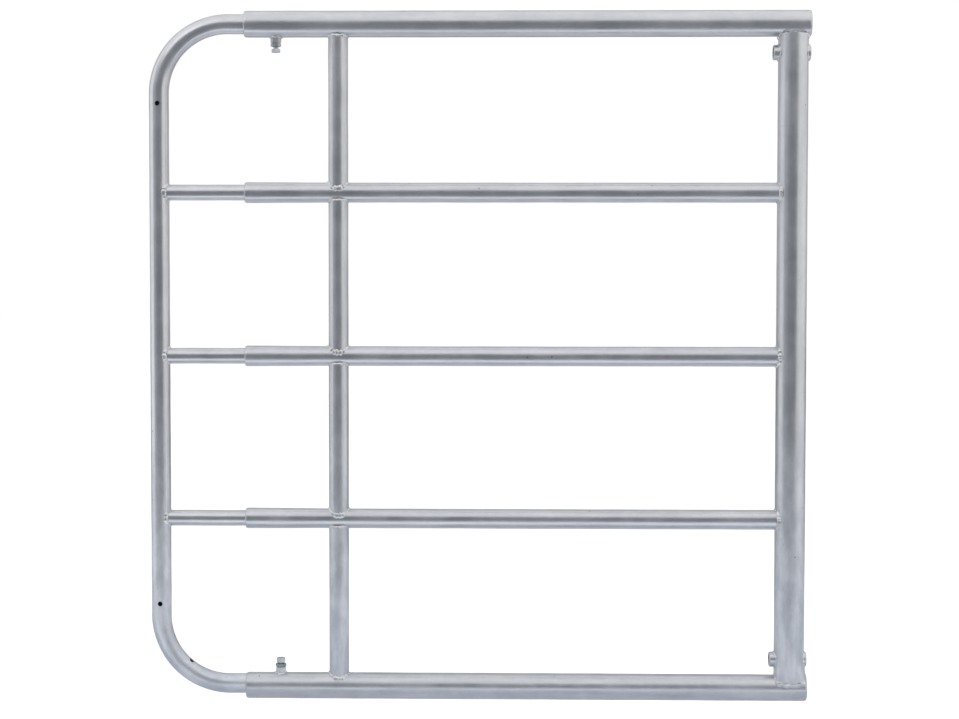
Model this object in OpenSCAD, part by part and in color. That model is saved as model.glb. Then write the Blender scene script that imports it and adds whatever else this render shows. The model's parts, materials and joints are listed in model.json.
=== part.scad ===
// Extendable tubular field gate, in millimetres.
// X runs along the rails towards the hinge side, Y from front to back, Z up.
// The origin is on the hinge upright's axis, at the middle of the lower hinge bush.

/* [Gate] */
// Overall height
gate_h = 1100; // [1060:1:1300]
// Overall width with the inner frame pushed in
closed_w = 1050; // [900:1:1400]

/* [Rails and bars] */
// Outside diameter of the top and bottom rails
rail_od = 42.4; // [40:0.1:48]
// Wall of the top and bottom rails
rail_wall = 2; // [1.5:0.1:2.5]
// How far the rails run past the hinge upright
rail_run = 3.3; // [3:0.1:12]
// Outside diameter of the bar sleeves
bar_od = 31.8; // [28:0.1:36]
// Wall of the bar sleeves
bar_wall = 2; // [1.5:0.1:2.5]
// Height of the lower bar over the bottom rail, axis to axis
bottom_bay_h = 270; // [200:1:290]
// Height of the top rail over the upper bar, axis to axis
top_bay_h = 266.6; // [200:0.1:290]

/* [Brace] */
// Outside diameter of the brace tubes
brace_od = 31.8; // [25:0.1:36]
// Wall of the brace tubes
brace_wall = 2; // [1.5:0.1:2.5]
// Distance from the sleeves' mouths to the brace's axis
brace_inset = 149; // [100:1:250]

/* [Hinge upright] */
// Outside diameter of the hinge upright
hinge_od = 48.3; // [46:0.1:60]
// Wall of the hinge upright
hinge_wall = 2.5; // [2:0.1:3.2]
// Distance from the rails' axes to the hinge upright's ends
hinge_end_inset = 11; // [6:0.5:14]

/* [Hinge bushes] */
// Outside diameter of the hinge bushes
bush_od = 24; // [22:0.1:30]
// Bore of the hinge bushes
bush_bore = 17; // [12.5:0.1:18]
// Distance from the rails' axes to the bushes' axes
bush_inset = 46; // [42:1:90]
// How far the bushes stand out of the upright on the bars' side
bush_in = 8; // [6:0.5:14]
// How far the bushes stand out of the upright on the post's side
bush_out = 3; // [3:0.1:8]

/* [Latch bow] */
// Wall of the bow's tube
bow_wall = 2; // [1.5:0.1:2.5]
// Play of the bow's legs in the rails, on the radius
leg_play = 3.3; // [1:0.1:4]
// Bend radius of the bow, on the tube's axis
bend_r = 110; // [80:1:140]
// Straight length of the bow's legs that shows between bend and sleeve
shown_leg = 27; // [10:1:80]
// Distance from the top rail's axis to the upper latch hole
upper_hole_inset = 126; // [112:1:160]
// Distance from the bottom rail's axis to the lower latch hole
lower_hole_inset = 133; // [116:1:160]
// Diameter of the latch holes
latch_hole_d = 7; // [5:0.5:10]
// Diameter of the drain hole in the lower bend
drain_hole_d = 7; // [5:0.5:10]
// Angle of the drain hole below the horizontal, round the bend's centre
drain_hole_angle = 50; // [20:1:70]

/* [Inner bars] */
// Wall of the inner bars
inner_wall = 2; // [1.5:0.1:2.5]
// Play of the inner bars in their sleeves, on the radius
bar_play = 1.2; // [0.5:0.1:1.8]
// How far short of the hinge upright the inner tubes end
end_room = 15; // [5:1:60]

/* [Clamp screws] */
// Distance from the top rail's mouth to the upper clamp screw
upper_clamp_inset = 50; // [30:1:80]
// Distance from the bottom rail's mouth to the lower clamp screw
lower_clamp_inset = 55; // [30:1:80]
// Width across flats of the welded bosses
boss_af = 15; // [13:0.5:18]
// Height of the bosses over the rails
boss_h = 9; // [6:0.5:14]
// Diameter of the clamp bolts
bolt_d = 8; // [6:0.5:9]
// Width across flats of the bolt heads
head_af = 13; // [11:0.5:16]
// Height of the bolt heads
head_h = 5.5; // [4:0.1:8]
// Distance from the lock nuts to the bolt heads
head_gap = 3.5; // [1:0.5:8]
// Width across flats of the lock nuts
nut_af = 15; // [12:0.5:17]
// Height of the lock nuts
nut_h = 5.5; // [4:0.5:8]

/* [Fits and welds] */
// Size of the weld beads
weld_w = 3; // [2:0.1:4]
// Gap between pieces that a weld joins
weld_gap = 0.2; // [0.1:0.05:0.3]
// Gap between the inner frame and what it bears on
seat_gap = 0.3; // [0.2:0.05:0.4]
// Radial clearance of the bolts in their threads
thread_gap = 0.05; // [0.02:0.01:0.1]
// Radial clearance of the bolts in the rails' walls
wall_hole_gap = 0.5; // [0.3:0.1:1]

/* [Hidden] */
$fn = 96;

galvanised = [0.73, 0.75, 0.79];
weld_zinc = [0.80, 0.82, 0.85];
plated = [0.66, 0.71, 0.71];

// Heights of the five tubes' axes over the lower hinge bush
bottom_z = -bush_inset;
top_z = bottom_z + gate_h - rail_od;
bar_pitch = (top_z - top_bay_h - bottom_z - bottom_bay_h) / 2;
bar_z = [for (i = [0 : 2]) bottom_z + bottom_bay_h + i * bar_pitch];
bush_z = [bottom_z + bush_inset, top_z - bush_inset];

// Sizes of the tubes that slide in others
bow_od = rail_od - 2 * rail_wall - 2 * leg_play;
inner_od = bar_od - 2 * bar_wall - 2 * bar_play;

// The bow's lower leg lies up against its sleeve, the upper leg in the middle of its own
low_leg_z = bottom_z + leg_play - seat_gap;

// Places along the rails, from the hinge side to the bow
rail_end_x = hinge_od / 2 + rail_run;
bow_x = rail_end_x + bow_od / 2 - closed_w;
bend_x = bow_x + bend_r;
mouth_x = bend_x + shown_leg;
brace_x = mouth_x + brace_inset;
inner_end_x = -hinge_od / 2 - end_room;

// Places of the bottom and top rails and of their clamp screws
rail_z = [bottom_z, top_z];
clamp_x = [mouth_x + lower_clamp_inset, mouth_x + upper_clamp_inset];

// Distances from a rail's axis along a clamp screw
boss_top = rail_od / 2 + boss_h;
nut_base = boss_top + thread_gap;
head_base = nut_base + nut_h + head_gap;

// Turns of the hexagons seen from the front: flat-on at 30, corner-on at 0
boss_turn = [30, 0];
head_turn = 30;

// Round rods and tubes along X and Z
module rod_x(x0, x1, z, d) {
    translate([x0, 0, z])
        rotate([0, 90, 0])
            cylinder(h = x1 - x0, d = d);
}

module rod_z(x, z0, z1, d) {
    translate([x, 0, z0])
        cylinder(h = z1 - z0, d = d);
}

module ring(d, wall) {
    difference() {
        circle(d = d);
        circle(d = d - 2 * wall);
    }
}

module tube_x(x0, x1, z, d, wall) {
    translate([x0, 0, z])
        rotate([0, 90, 0])
            linear_extrude(height = x1 - x0)
                ring(d, wall);
}

module tube_z(x, z0, z1, d, wall) {
    translate([x, 0, z0])
        linear_extrude(height = z1 - z0)
            ring(d, wall);
}

module hexagon(af, h) {
    cylinder(h = h, d = af / cos(30), $fn = 6);
}

// Turns a shape that points up from a rail's axis to where a clamp screw is: 0 lower, 1 upper
module at_clamp(i) {
    translate([clamp_x[i], 0, rail_z[i]])
        rotate([i == 0 ? 0 : 180, 0, 0])
            children();
}

// Top and bottom rails, with a hole for the clamp bolt
module rail_sleeve(i) {
    difference() {
        tube_x(mouth_x, rail_end_x, rail_z[i], rail_od, rail_wall);
        at_clamp(i)
            cylinder(h = rail_od, d = bolt_d + 2 * wall_hole_gap);
    }
}

module top_rail_sleeve() {
    color(galvanised)
        rail_sleeve(1);
}

module bottom_rail_sleeve() {
    color(galvanised)
        rail_sleeve(0);
}

// Bar sleeves, from their mouths to the hinge upright
module bar_sleeve(z) {
    difference() {
        tube_x(mouth_x, 0, z, bar_od, bar_wall);
        rod_z(0, z - bar_od, z + bar_od, hinge_od + 2 * weld_gap);
    }
}

module upper_bar_sleeve() {
    color(galvanised)
        bar_sleeve(bar_z[2]);
}

module middle_bar_sleeve() {
    color(galvanised)
        bar_sleeve(bar_z[1]);
}

module lower_bar_sleeve() {
    color(galvanised)
        bar_sleeve(bar_z[0]);
}

// Hinge upright, its ends saddled on the rails and drilled for the bushes
module hinge_upright() {
    color(galvanised)
        difference() {
            tube_z(0, bottom_z + hinge_end_inset, top_z - hinge_end_inset, hinge_od, hinge_wall);
            for (z = rail_z)
                rod_x(-hinge_od, hinge_od, z, rail_od + 2 * weld_gap);
            for (z = bush_z)
                rod_x(-hinge_od, hinge_od, z, bush_od + 2 * weld_gap);
        }
}

// A brace tube from one rail or bar to the next, saddled on both
module brace_tube(z0, d0, z1, d1) {
    color(galvanised)
        difference() {
            tube_z(brace_x, z0 + weld_gap / 2, z1 - weld_gap / 2, brace_od, brace_wall);
            rod_x(brace_x - brace_od, brace_x + brace_od, z0, d0 + 2 * weld_gap);
            rod_x(brace_x - brace_od, brace_x + brace_od, z1, d1 + 2 * weld_gap);
        }
}

module brace_tube_top() {
    brace_tube(bar_z[2], bar_od, top_z, rail_od);
}

module brace_tube_upper() {
    brace_tube(bar_z[1], bar_od, bar_z[2], bar_od);
}

module brace_tube_lower() {
    brace_tube(bar_z[0], bar_od, bar_z[1], bar_od);
}

module brace_tube_bottom() {
    brace_tube(bottom_z, rail_od, bar_z[0], bar_od);
}

// Hinge bushes, right through the upright
module hinge_bush(z) {
    color(galvanised)
        tube_x(-hinge_od / 2 - bush_in, hinge_od / 2 + bush_out, z, bush_od, (bush_od - bush_bore) / 2);
}

module upper_hinge_bush() {
    hinge_bush(bush_z[1]);
}

module lower_hinge_bush() {
    hinge_bush(bush_z[0]);
}

// Bosses for the clamp bolts, saddled on the rails
module clamp_boss(i) {
    color(galvanised)
        difference() {
            at_clamp(i)
                rotate(boss_turn[i])
                    hexagon(boss_af, boss_top);
            rod_x(clamp_x[i] - boss_af, clamp_x[i] + boss_af, rail_z[i], rail_od + 2 * weld_gap);
            at_clamp(i)
                cylinder(h = 2 * boss_top, d = bolt_d + 2 * thread_gap);
        }
}

module upper_clamp_boss() {
    clamp_boss(1);
}

module lower_clamp_boss() {
    clamp_boss(0);
}

// The bead between an upright tube and a tube along X, on one side of that tube: 1 over it, -1 under it
module saddle_bead(x, d_up, z, d_along, side) {
    reach = d_along / 2 + weld_w;
    low = side > 0 ? z + weld_gap / 2 : z - reach;
    high = side > 0 ? z + reach : z - weld_gap / 2;
    difference() {
        intersection() {
            rod_z(x, low, high, d_up + 2 * weld_w);
            rod_x(x - d_up, x + d_up, z, d_along + 2 * weld_w);
        }
        rod_z(x, low - reach, high + reach, d_up + 2 * weld_gap);
        rod_x(x - d_up, x + d_up, z, d_along + 2 * weld_gap);
    }
}

// The bead between a tube or bush along X and the side of an upright, from x0 to x1
module butt_bead(x0, x1, z, d_along, x, d_up) {
    difference() {
        intersection() {
            rod_x(x0, x1, z, d_along + 2 * weld_w);
            rod_z(x, z - d_along, z + d_along, d_up + 2 * weld_w);
        }
        rod_x(x0 - d_up, x1 + d_up, z, d_along + 2 * weld_gap);
        rod_z(x, z - d_along, z + d_along, d_up + 2 * weld_gap);
    }
}

module brace_welds() {
    color(weld_zinc) {
        saddle_bead(brace_x, brace_od, bottom_z, rail_od, 1);
        for (z = bar_z, side = [-1, 1])
            saddle_bead(brace_x, brace_od, z, bar_od, side);
        saddle_bead(brace_x, brace_od, top_z, rail_od, -1);
    }
}

// The bead round an end of the hinge upright, under its edge and up its side
module upright_end_bead(z, side) {
    reach = rail_od / 2 + weld_w;
    edge = hinge_end_inset - weld_w;
    translate([0, 0, z])
        mirror([0, 0, side > 0 ? 0 : 1])
            difference() {
                intersection() {
                    rod_z(0, edge, reach, hinge_od + 2 * weld_w);
                    rod_x(-hinge_od, hinge_od, 0, rail_od + 2 * weld_w);
                }
                rod_x(-hinge_od, hinge_od, 0, rail_od + 2 * weld_gap);
                rod_z(0, hinge_end_inset - weld_gap, 2 * reach, hinge_od + 2 * weld_gap);
            }
}

module hinge_upright_welds() {
    color(weld_zinc) {
        upright_end_bead(bottom_z, 1);
        upright_end_bead(top_z, -1);
    }
}

module bar_end_welds() {
    color(weld_zinc)
        for (z = bar_z)
            butt_bead(-hinge_od, 0, z, bar_od, 0, hinge_od);
}

module hinge_bush_welds() {
    color(weld_zinc)
        for (z = bush_z) {
            butt_bead(-hinge_od, 0, z, bush_od, 0, hinge_od);
            butt_bead(0, hinge_od / 2 + bush_out, z, bush_od, 0, hinge_od);
        }
}

// The bead round a boss, on the rail's crest
module boss_bead(i) {
    reach = 2 * boss_af;
    difference() {
        intersection() {
            at_clamp(i)
                cylinder(h = boss_top, d = boss_af / cos(30) + 2 * weld_w);
            rod_x(clamp_x[i] - reach, clamp_x[i] + reach, rail_z[i], rail_od + 2 * weld_w);
        }
        at_clamp(i)
            rotate(boss_turn[i])
                hexagon(boss_af + 2 * weld_gap, 2 * boss_top);
        rod_x(clamp_x[i] - reach, clamp_x[i] + reach, rail_z[i], rail_od + 2 * weld_gap);
    }
}

module clamp_boss_welds() {
    color(weld_zinc)
        for (i = [0, 1])
            boss_bead(i);
}

// One bend of the bow, a quarter turn from the upright to a leg
module bow_bend(leg_z, side) {
    translate([bend_x, 0, leg_z + side * bend_r])
        rotate([90, 0, 0])
            rotate(side > 0 ? 180 : 90)
                rotate_extrude(angle = 90)
                    translate([bend_r, 0])
                        ring(bow_od, bow_wall);
}

// The bow: one tube bent into two legs and the latch upright, with latch holes and a drain hole
module latch_bow() {
    color(galvanised)
        difference() {
            union() {
                tube_x(bend_x, inner_end_x, top_z, bow_od, bow_wall);
                tube_x(bend_x, inner_end_x, low_leg_z, bow_od, bow_wall);
                tube_z(bow_x, low_leg_z + bend_r, top_z - bend_r, bow_od, bow_wall);
                bow_bend(top_z, -1);
                bow_bend(low_leg_z, 1);
            }
            for (z = [bottom_z + lower_hole_inset, top_z - upper_hole_inset])
                translate([bow_x, 0, z])
                    rotate([90, 0, 0])
                        cylinder(h = bow_od, d = latch_hole_d);
            translate([bend_x, 0, low_leg_z + bend_r])
                rotate([0, 270 - drain_hole_angle, 0])
                    translate([0, 0, bend_r - bow_od])
                        cylinder(h = bow_od, d = drain_hole_d);
        }
}

// Inner bars, from the bow's upright into their sleeves
module inner_bar(z) {
    color(galvanised)
        difference() {
            tube_x(bow_x, inner_end_x, z, inner_od, inner_wall);
            rod_z(bow_x, z - inner_od, z + inner_od, bow_od + 2 * weld_gap);
        }
}

module upper_inner_bar() {
    inner_bar(bar_z[2]);
}

module middle_inner_bar() {
    inner_bar(bar_z[1]);
}

module lower_inner_bar() {
    inner_bar(bar_z[0]);
}

module inner_bar_welds() {
    color(weld_zinc)
        for (z = bar_z)
            butt_bead(bow_x, bow_x + bow_od, z, inner_od, bow_x, bow_od);
}

// Clamp bolts, from the bow's leg to the head
module clamp_bolt(i, tip) {
    color(plated)
        at_clamp(i) {
            translate([0, 0, tip])
                cylinder(h = head_base - tip, d = bolt_d);
            translate([0, 0, head_base])
                rotate(head_turn)
                    hexagon(head_af, head_h);
        }
}

module upper_clamp_bolt() {
    clamp_bolt(1, bow_od / 2 + seat_gap);
}

module lower_clamp_bolt() {
    clamp_bolt(0, low_leg_z - bottom_z + bow_od / 2 + seat_gap);
}

module lock_nut(i) {
    color(plated)
        at_clamp(i)
            difference() {
                translate([0, 0, nut_base])
                    hexagon(nut_af, nut_h);
                cylinder(h = 2 * nut_base, d = bolt_d + 2 * thread_gap);
            }
}

module upper_lock_nut() {
    lock_nut(1);
}

module lower_lock_nut() {
    lock_nut(0);
}

top_rail_sleeve();
upper_bar_sleeve();
middle_bar_sleeve();
lower_bar_sleeve();
bottom_rail_sleeve();
hinge_upright();
brace_tube_top();
brace_tube_upper();
brace_tube_lower();
brace_tube_bottom();
upper_hinge_bush();
lower_hinge_bush();
upper_clamp_boss();
lower_clamp_boss();
brace_welds();
hinge_upright_welds();
bar_end_welds();
hinge_bush_welds();
clamp_boss_welds();
latch_bow();
upper_inner_bar();
middle_inner_bar();
lower_inner_bar();
inner_bar_welds();
upper_clamp_bolt();
lower_clamp_bolt();
upper_lock_nut();
lower_lock_nut();
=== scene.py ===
"""Looks of an extendable tubular field gate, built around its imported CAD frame. Lengths are in metres."""

import json
import math

import bmesh
import bpy
import numpy as np
from mathutils import Matrix, Vector

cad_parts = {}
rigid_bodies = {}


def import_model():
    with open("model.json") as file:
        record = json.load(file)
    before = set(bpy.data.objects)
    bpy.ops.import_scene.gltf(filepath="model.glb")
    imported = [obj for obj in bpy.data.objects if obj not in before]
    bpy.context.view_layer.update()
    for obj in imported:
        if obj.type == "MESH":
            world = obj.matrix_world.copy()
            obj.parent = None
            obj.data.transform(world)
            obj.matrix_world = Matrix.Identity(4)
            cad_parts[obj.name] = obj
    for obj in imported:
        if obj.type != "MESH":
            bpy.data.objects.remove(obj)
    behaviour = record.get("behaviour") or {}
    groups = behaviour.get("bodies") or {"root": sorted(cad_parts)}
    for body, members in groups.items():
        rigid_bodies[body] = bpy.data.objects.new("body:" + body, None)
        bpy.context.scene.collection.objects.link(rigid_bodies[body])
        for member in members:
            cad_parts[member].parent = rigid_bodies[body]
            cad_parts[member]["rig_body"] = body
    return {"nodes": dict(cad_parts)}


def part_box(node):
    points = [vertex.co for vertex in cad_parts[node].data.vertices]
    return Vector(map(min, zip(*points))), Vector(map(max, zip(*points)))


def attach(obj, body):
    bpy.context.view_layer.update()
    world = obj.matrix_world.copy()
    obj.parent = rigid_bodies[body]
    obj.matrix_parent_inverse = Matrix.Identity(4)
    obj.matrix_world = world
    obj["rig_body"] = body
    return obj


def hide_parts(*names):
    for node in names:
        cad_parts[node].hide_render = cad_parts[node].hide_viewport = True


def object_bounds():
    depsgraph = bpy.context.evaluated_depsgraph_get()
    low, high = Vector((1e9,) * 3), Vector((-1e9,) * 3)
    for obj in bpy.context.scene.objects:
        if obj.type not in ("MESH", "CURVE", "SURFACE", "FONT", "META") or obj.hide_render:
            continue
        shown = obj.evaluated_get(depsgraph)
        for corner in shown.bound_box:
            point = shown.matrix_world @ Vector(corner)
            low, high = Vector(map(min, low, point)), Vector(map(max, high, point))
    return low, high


MM = 0.001
TURN = 2 * math.pi
TINY = 1e-9
IMAGE_WIDTH = 959

# Tubes
AROUND = 64
STATION = 12 * MM
FEWEST_STATIONS = 4
FEWEST_LEG_STATIONS = 3
BEND_STATIONS = 28
TUBE_WALL = 2 * MM
HINGE_WALL = 2.5 * MM
BEND_RADIUS = 110 * MM
BEND_FLATTEN = 0.02
WOBBLE = 0.06 * MM
WOBBLE_WAVES = (0.21, 0.083, 0.047)
WOBBLE_FINE_SHARE = 0.6
WOBBLE_PEAK = 2 + WOBBLE_FINE_SHARE
RAIL_LIP = 5 * MM
BAR_LIP = 4 * MM
CUT_LIP = 0.8 * MM
LIP_STEPS = 7
LIP_INNER_SHARE = 0.12
MOUTH_SWELL = 0.8 * MM
SEAT_GAP = 0.2 * MM
BRACE_STOP = {"on": 10 * MM, "on_rail": 17 * MM, "under": 12.9 * MM, "under_rail": 20.5 * MM}
BAR_END_STOP = 22 * MM
INNER_BAR_STOP = 12.5 * MM
UPRIGHT_FRONT_STOP = {"bottom": 10.5 * MM, "top": 16 * MM}
UPRIGHT_ARC_RISE = 3.5 * MM
FLARE_RUN = 36 * MM
FLARE_EASE = 1.5
FLARE_SQUARENESS = 5
FLARE_POST_SIDE = 5 * MM
SHARP_ANGLE = math.radians(40)

# Zinc, which dulls toward the ground
GRAIN_SHIFT = np.array([1.7, 0.31, 0.53])
DULL_FROM_Z = 0.5
DULL_TO_Z = 0.05
DULL_UPRIGHT = 1.0
DULL_RAIL = 0.15
DULL_ROUGHNESS = 0.07
DULL_METAL = -0.32
DULL_TINT = (0.94, 0.965, 1.01)
STREAK_NOISE = {"Scale": 1.0, "Detail": 3.0, "Roughness": 0.52}
CLOUD_NOISE = {"Scale": 26.0, "Detail": 3.5, "Roughness": 0.52}
SPECK_NOISE = {"Scale": 620.0, "Detail": 3.0, "Roughness": 0.7}
DRIP_NOISE = {"Scale": 1.0, "Detail": 5.0, "Roughness": 0.64}
DRIP_STRETCH = (20, 64, 64)
NOISE_MIDDLE = 0.5
NOISE_LOW = 0.3
NOISE_HIGH = 0.7
CLOUD_SHARE = 0.45
CRYSTAL_SHARE = 0.07
STAIN = 0.3
STAIN_WHERE_DULL = 1.1
DARK_AT = 0.28
LIGHT_AT = 0.72
PIMPLES_PER_METRE = 27
PIMPLE_REACH = 0.045
PIMPLE_CORE_SHARE = 0.5
PIMPLE_TONE = 0.45
RELIEF_STREAK_SHARE = 0.6
RELIEF_DEPTH = 0.4 * MM
TUBE_STREAKS = (7, 90, 90)
WELD_STREAKS = (160, 160, 160)
SCREW_STREAKS = (120, 120, 700)
TUBE_CRYSTALS = 150
WELD_CRYSTALS = 400
SCREW_CRYSTALS = 900

# Holes
HOLE_AROUND = 48
HOLE_FLARE = 0.5 * MM
HOLE_PAST_WALL = 0.3 * MM
LATCH_HOLE_RADIUS = 3.5 * MM
UPPER_LATCH_HOLE_DROP = 126 * MM
LOWER_LATCH_HOLE_RISE = 133 * MM
DRAIN_HOLE_ANGLE = math.radians(50)
DRAIN_HOLE_TO_FRONT = math.radians(16)
CLAMP_HOLE_RADIUS = 4.5 * MM
CLAMP_HOLE_REACH = 1.3
BUSH_BORE_RADIUS = 8.5 * MM
BUSH_EDGE = 2 * MM
BUSH_EDGE_STEPS = 6
BORE_EDGE = 0.8 * MM

# Welds
WELD_AROUND = 14
WELD_LINE_STEPS = 360
WELD_STEP = 0.6 * MM
FEWEST_WELD_STEPS = 24
WELD_RIPPLE = 3.2 * MM
FEWEST_RIPPLES = 6
RIPPLE_SWAY = 0.12
CREST_AT = 0.35
CREST_SPAN = 0.45
CREST_WIDTH = 0.14
CREST_HEIGHT = 0.28
SWAY_WAVES = range(1, 9)
SWAY_WIDTH = 0.06
LUMP_WAVES = range(5, 20)
LUMP_SPREAD = 3.9
LUMP_WIDTH = 0.16
LUMP_HEIGHT = 0.3
BRIDGE_OUTWARD_ALONG = -0.5
BRACE_WELD_RISE = {"on": 7 * MM, "on_rail": 6 * MM, "under": 2.6 * MM, "under_rail": 4 * MM}
BRACE_WELD_HEIGHT = 1.9 * MM
BRACE_WELD_LAP = 2.4 * MM
BRACE_WELD_AT_SIDES = {"on": 1.3, "on_rail": 1.3, "under": 0.5, "under_rail": 0.6}
BAR_WELD_RISE = 5.5 * MM
INNER_BAR_WELD_RISE = 6 * MM
BAR_WELD_LAP = 1.8 * MM
BAR_WELD_HEIGHT = 2.2 * MM
BAR_WELD_TOP_HEIGHT = 1.6 * MM
BUSH_WELD_WIDTH = 3.4 * MM
BUSH_WELD_HEIGHT = 1.5 * MM
BOSS_WELD_WIDTH = 5 * MM
BOSS_WELD_HEIGHT = 2.2 * MM
UPRIGHT_WELD_RISE = {"bottom": 6.5 * MM, "top": 1.2 * MM}
UPRIGHT_WELD_LAP = {"bottom": 2.6 * MM, "top": 1.6 * MM}
UPRIGHT_WELD_SIDE_LAP = {"bottom": 0, "top": 5.5 * MM}
UPRIGHT_WELD_HEIGHT = {"bottom": 1.9 * MM, "top": 1.1 * MM}
UPRIGHT_WELD_SIDE_HEIGHT = {"bottom": 1.1 * MM, "top": 2 * MM}

# Clamp screws, each pointing from its rail into the gate
INWARD = {"upper": -1, "lower": 1}
HEX_AROUND = 72
HEX_RIM_SHARE = 0.95
HEX_SLOPE = 0.58
BOLT_RADIUS = 4 * MM
BOLT_BORE_RADIUS = 4.05 * MM
BOLT_TIP_SHARE = 0.6
BOLT_ENTRY_SHARE = 0.3
BOLT_PLAIN_NECK = 2.5 * MM
THREAD_PITCH = 1.25 * MM
THREAD_DEPTH = 0.62 * MM
THREAD_START = 0.2 * MM
THREAD_STEP = 0.125 * MM
THREAD_RUN_IN = 1.2 * MM
THREAD_RUN_OUT = 0.8 * MM
HEAD_TURN = 30
HEAD_DEPTH = {"upper": 5.5 * MM, "lower": 7 * MM}
HEAD_BASE_SLOPE = 0.3
DISH_RIM_SHARE = 0.72
DISH_FOOT_SHARE = 0.6
DISH_MIDDLE_SHARE = 0.2
DISH_DEPTH = 0.5 * MM
NUT_TURN = 0
NUT_BORE_EDGE = 0.6 * MM
BOSS_TURN = {"upper": 0, "lower": 30}
BOSS_RIM_SHARE = 0.96
BOSS_SLOPE = 0.6
BOSS_EDGE = 0.4 * MM
BOSS_BORE_EDGE = 0.5 * MM

# Camera, from the edges of the gate's tubes
CAMERA_FOCUS_PIXELS = 2000
CAMERA_FAR = 100
SENSOR_WIDTH = 36
CAMERA_PLACE = Vector((-427.72, -3188.01, 618.77)) * MM
CAMERA_TURNS = (0.0437, 0.02127, 0.00194)

# Floor, backdrop and lamps
WHITE = (1, 1, 1, 1)
AMBIENT = 0.5
FLOOR_DROP = 0.06
FLOOR_REACH = 30
FLOOR_COLOUR = (0.9, 0.9, 0.9, 1)
FLOOR_LIFT = 0.6
LAMP_AIM = (-0.5, 0, 0.4)
OVERHEAD_PLACE = (-0.5, -0.9, 2.6)
OVERHEAD_SIZE = (2.4, 1.4)
OVERHEAD_POWER = 15
LEFT_LAMP_PLACE = (-1.7, -3.1, 1.3)
RIGHT_LAMP_PLACE = (0.7, -3.1, 1.3)
FRONT_LAMP_SIZE = (1.2, 2.2)
FRONT_LAMP_POWER = 17

# Studio flags and cards
FLAG_LIFT = 0.01
FLAG_LEFT = -3.0
FLAG_RIGHT = 2.3
FLAG_FRONT_Y = -3.6
FLAG_TOP = 2.4
LEFT_FLAG_BACK_Y = -1.0
NEAR_CARD_FRONT_Y = -0.68
NEAR_CARD_BACK_Y = -0.2
PAINTED_SHADOW_BACK_Y = 0.1
BACK_FLAG_LEFT = -3.4
BACK_FLAG_RIGHT = 2.4
BACK_FLAG_Y = 1.3
BACK_FLAG_LOW = 0.45
BACK_FLAG_TOP = 2.6
RIGHT_CARD_X = 2.6
BEND_CARD_PLACE = (-2.0, -1.4, 2.0)
BEND_CARD_SIZE = 0.9
FRONT_CLOTH = (0.225, 0.235, 0.25)
FLOOR_CLOTH = (0.262, 0.272, 0.29)
LEFT_CLOTH = (0.37, 0.39, 0.42)
NEAR_CARD = (1.06, 1.09, 1.14)
# Painted shadow: the grey sheet on the floor under the gate stands in for the gate's shadow there, as the
# metal reflects it
UNDER_GATE_PAINTED_SHADOW = (0.53, 0.56, 0.62)
BEHIND_CLOTH = (0.68, 0.70, 0.74)
BACK_CLOTH = (0.56, 0.56, 0.57)
LOW_BACK_CLOTH = (0.31, 0.315, 0.33)
RIGHT_CARD = (0.94, 0.93, 0.91)
BEND_CARD = (1.5, 1.5, 1.52)

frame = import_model()
cad_low, cad_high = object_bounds()


# Places and sizes from the frame
def place(node):
    """Middle and half extents of a CAD node's box."""
    low, high = (np.array(corner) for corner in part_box(node))
    return (low + high) / 2, (high - low) / 2


hinge_radius = place("hinge_upright")[1][1]
bush_z = {side: place(side + "_hinge_bush")[0][2] for side in ("upper", "lower")}
bush_radius = place("lower_hinge_bush")[1][2]
bow_middle, bow_half = place("latch_bow")
bow_radius = bow_half[1]
bow_x = bow_middle[0] - bow_half[0] + bow_radius
bow_end_x = bow_middle[0] + bow_half[0]
bend_x = bow_x + BEND_RADIUS
top_leg_z = bow_middle[2] + bow_half[2] - bow_radius
low_leg_z = bow_middle[2] - bow_half[2] + bow_radius
upper_bend_z = top_leg_z - BEND_RADIUS
lower_bend_z = low_leg_z + BEND_RADIUS
rail_middle, rail_half = place("top_rail_sleeve")
rail_radius = rail_half[1]
mouth_x = rail_middle[0] - rail_half[0]
top_rail_z = rail_middle[2]
bottom_rail_z = place("bottom_rail_sleeve")[0][2]
upright_ends = {"bottom": (bottom_rail_z, 1), "top": (top_rail_z, -1)}
brace_middle, brace_half = place("brace_tube_top")
brace_x = brace_middle[0]
brace_radius = brace_half[1]
bar_z = {side: place(side + "_bar_sleeve")[0][2] for side in ("upper", "middle", "lower")}
bar_radius = place("middle_bar_sleeve")[1][1]
inner_radius = place("middle_inner_bar")[1][1]


# Mesh building
def angles(count):
    """Even angles round a circle."""
    return np.linspace(0, TURN, count, endpoint=False)


def unit(vectors):
    """Rows of vectors, each of length 1."""
    return vectors / np.linalg.norm(vectors, axis=1)[:, None]


def shell(name, parts, capped=False):
    """A mesh object of closed shells.

    Each part is rows of rings. The last row joins the first, or both get caps."""
    points, faces = [], []
    for rows in parts:
        rows = np.asarray(rows)
        count, around = rows.shape[:2]
        base = sum(len(chunk) for chunk in points)
        row = np.arange(count - 1 if capped else count)[:, None]
        step = np.arange(around)[None, :]
        ahead, beside = (row + 1) % count, (step + 1) % around
        corners = [row * around + step, row * around + beside, ahead * around + beside, ahead * around + step]
        faces += (np.stack(corners, -1).reshape(-1, 4) + base).tolist()
        if capped:
            faces.append([base + k for k in reversed(range(around))])
            faces.append([base + (count - 1) * around + k for k in range(around)])
        points.append(rows.reshape(-1, 3))
    mesh = bpy.data.meshes.new(name)
    mesh.from_pydata(np.concatenate(points).tolist(), [], faces)
    turned = bmesh.new()
    turned.from_mesh(mesh)
    if turned.calc_volume(signed=True) < 0:
        bmesh.ops.reverse_faces(turned, faces=turned.faces)
    turned.to_mesh(mesh)
    turned.free()
    obj = bpy.data.objects.new(name, mesh)
    bpy.context.scene.collection.objects.link(obj)
    return obj


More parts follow.
